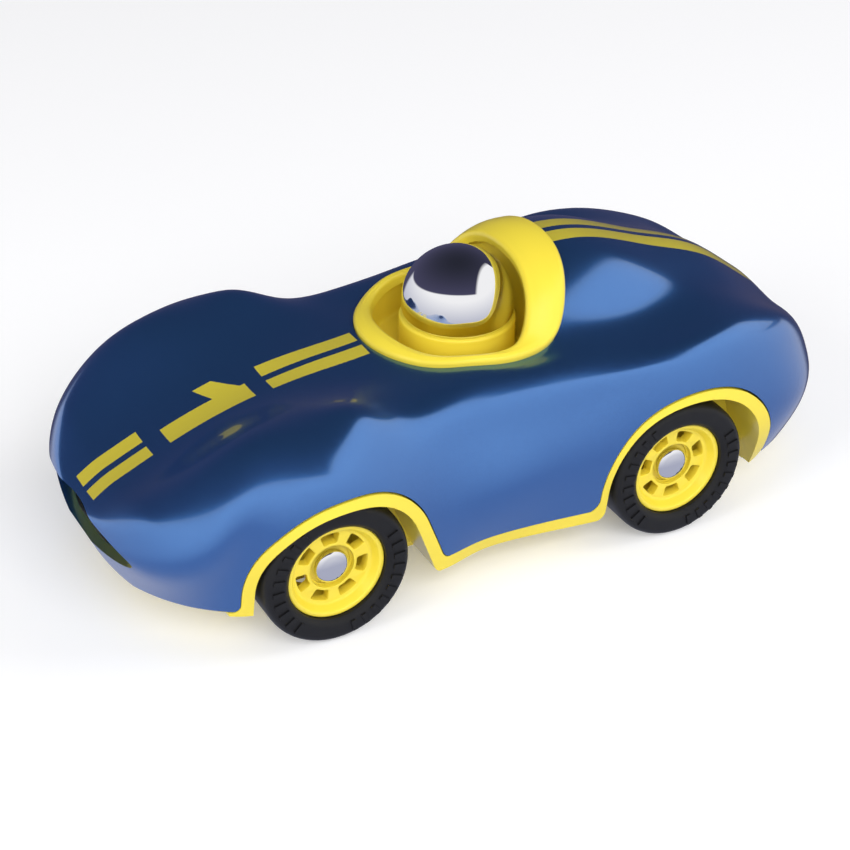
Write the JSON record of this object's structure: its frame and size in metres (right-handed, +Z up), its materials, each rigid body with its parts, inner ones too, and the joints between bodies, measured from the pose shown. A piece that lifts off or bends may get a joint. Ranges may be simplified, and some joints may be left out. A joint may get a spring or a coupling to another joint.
{
  "type": "pull back toy car",
  "caption": "Pull-back toy racing car with a rounded blue body, yellow arches and cockpit rim, mirror-domed driver, spoked rims and a geared spring motor.",
  "frame": {"origin": "on the ground under the middle of the car's length and width", "axes": "+X to the nose, +Y to the car's left, +Z up"},
  "size_m": [0.1634, 0.0766, 0.059],
  "materials": {
    "blue_body": "metallic blue lacquer over moulded plastic",
    "yellow_plastic": "glossy yellow-green moulded plastic",
    "chrome": "vacuum-plated mirror",
    "tyre_rubber": "soft satin rubber",
    "screw_steel": "plain steel",
    "white_nylon": "natural nylon",
    "black_plastic": "moulded plastic"
  },
  "bodies": {
    "car_body": {"body_shell": "blue_body", "chassis": "yellow_plastic", "body_screws": "screw_steel", "intake_liner": "yellow_plastic", "cockpit_surround": "yellow_plastic", "driver_post": "yellow_plastic", "driver_head": "chrome", "driver_screw": "screw_steel", "motor_housing_left": "black_plastic", "motor_housing_right": "black_plastic", "idler_pin": "screw_steel", "spring_arbor": "screw_steel", "mainspring": "screw_steel"},
    "front_wheelset": {"front_axle": "screw_steel", "front_left_rim": "yellow_plastic", "front_left_tyre": "tyre_rubber", "front_left_hub_cap": "chrome", "front_right_rim": "yellow_plastic", "front_right_tyre": "tyre_rubber", "front_right_hub_cap": "chrome"},
    "rear_wheelset": {"rear_axle": "screw_steel", "axle_pinion": "white_nylon", "rear_left_rim": "yellow_plastic", "rear_left_tyre": "tyre_rubber", "rear_left_hub_cap": "chrome", "rear_right_rim": "yellow_plastic", "rear_right_tyre": "tyre_rubber", "rear_right_hub_cap": "chrome"},
    "idler": {"idler_gear": "white_nylon"},
    "spring_drum": {"spring_barrel": "white_nylon"}
  },
  "joints": [
    {"name": "rear_axle_spin", "type": "hinge", "parent": "car_body", "child": "rear_wheelset", "pos_m": [-0.0349, 0, 0.0153], "axis": [0, 1, 0], "continuous": true},
    {"name": "front_axle_spin", "type": "hinge", "parent": "car_body", "child": "front_wheelset", "pos_m": [0.0425, 0, 0.0153], "axis": [0, 1, 0], "continuous": true},
    {"name": "idler_spin", "type": "hinge", "parent": "car_body", "child": "idler", "pos_m": [-0.02573, 0, 0.02172], "axis": [0, 1, 0], "continuous": true},
    {"name": "spring_drum_spin", "type": "hinge", "parent": "car_body", "child": "spring_drum", "pos_m": [-0.01491, 0, 0.01883], "axis": [0, 1, 0], "continuous": true}
  ],
  "couplings": [
    {"joint": "idler_spin", "follows": "rear_axle_spin", "ratio": -0.45455},
    {"joint": "spring_drum_spin", "follows": "rear_axle_spin", "ratio": 0.20661}
  ]
}
